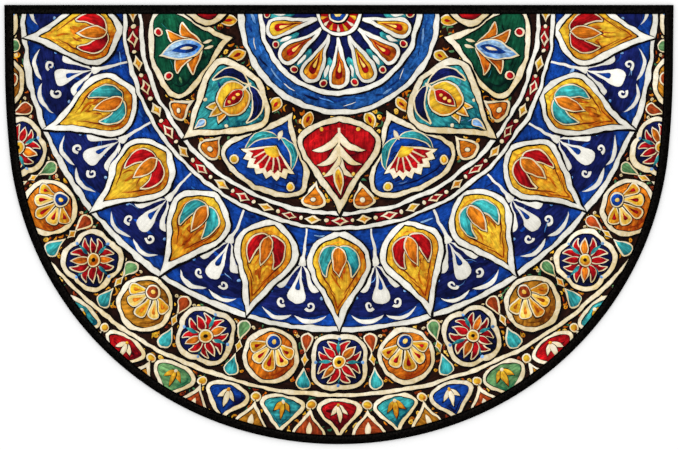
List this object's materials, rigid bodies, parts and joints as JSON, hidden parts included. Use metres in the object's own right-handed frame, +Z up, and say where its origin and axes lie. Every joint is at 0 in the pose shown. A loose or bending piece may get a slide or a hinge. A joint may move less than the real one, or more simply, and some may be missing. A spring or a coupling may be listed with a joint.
{
  "type": "half-moon rug",
  "caption": "Flat half-moon rug with one straight edge and one deep round edge; a printed textile panel bound all round with a narrow black tape folded over the edge",
  "frame": {"origin": "middle of the footprint's bounding box, on the floor under the rug", "axes": "+Z up; X along the straight edge; +Y towards the straight edge and -Y towards the middle of the round edge"},
  "size_m": [0.9, 0.5906, 0.0054],
  "materials": {
    "printed_textile": "low, dense textile face with an all-over printed rosette design in cobalt, navy, turquoise, crimson, gold and cream; matt",
    "black_tape": "near-black woven tape, matt with a faint sheen, sewn down beside its inner edge"
  },
  "bodies": {
    "root": {"printed_panel": "printed_textile", "edge_binding": "black_tape"}
  },
  "joints": []
}
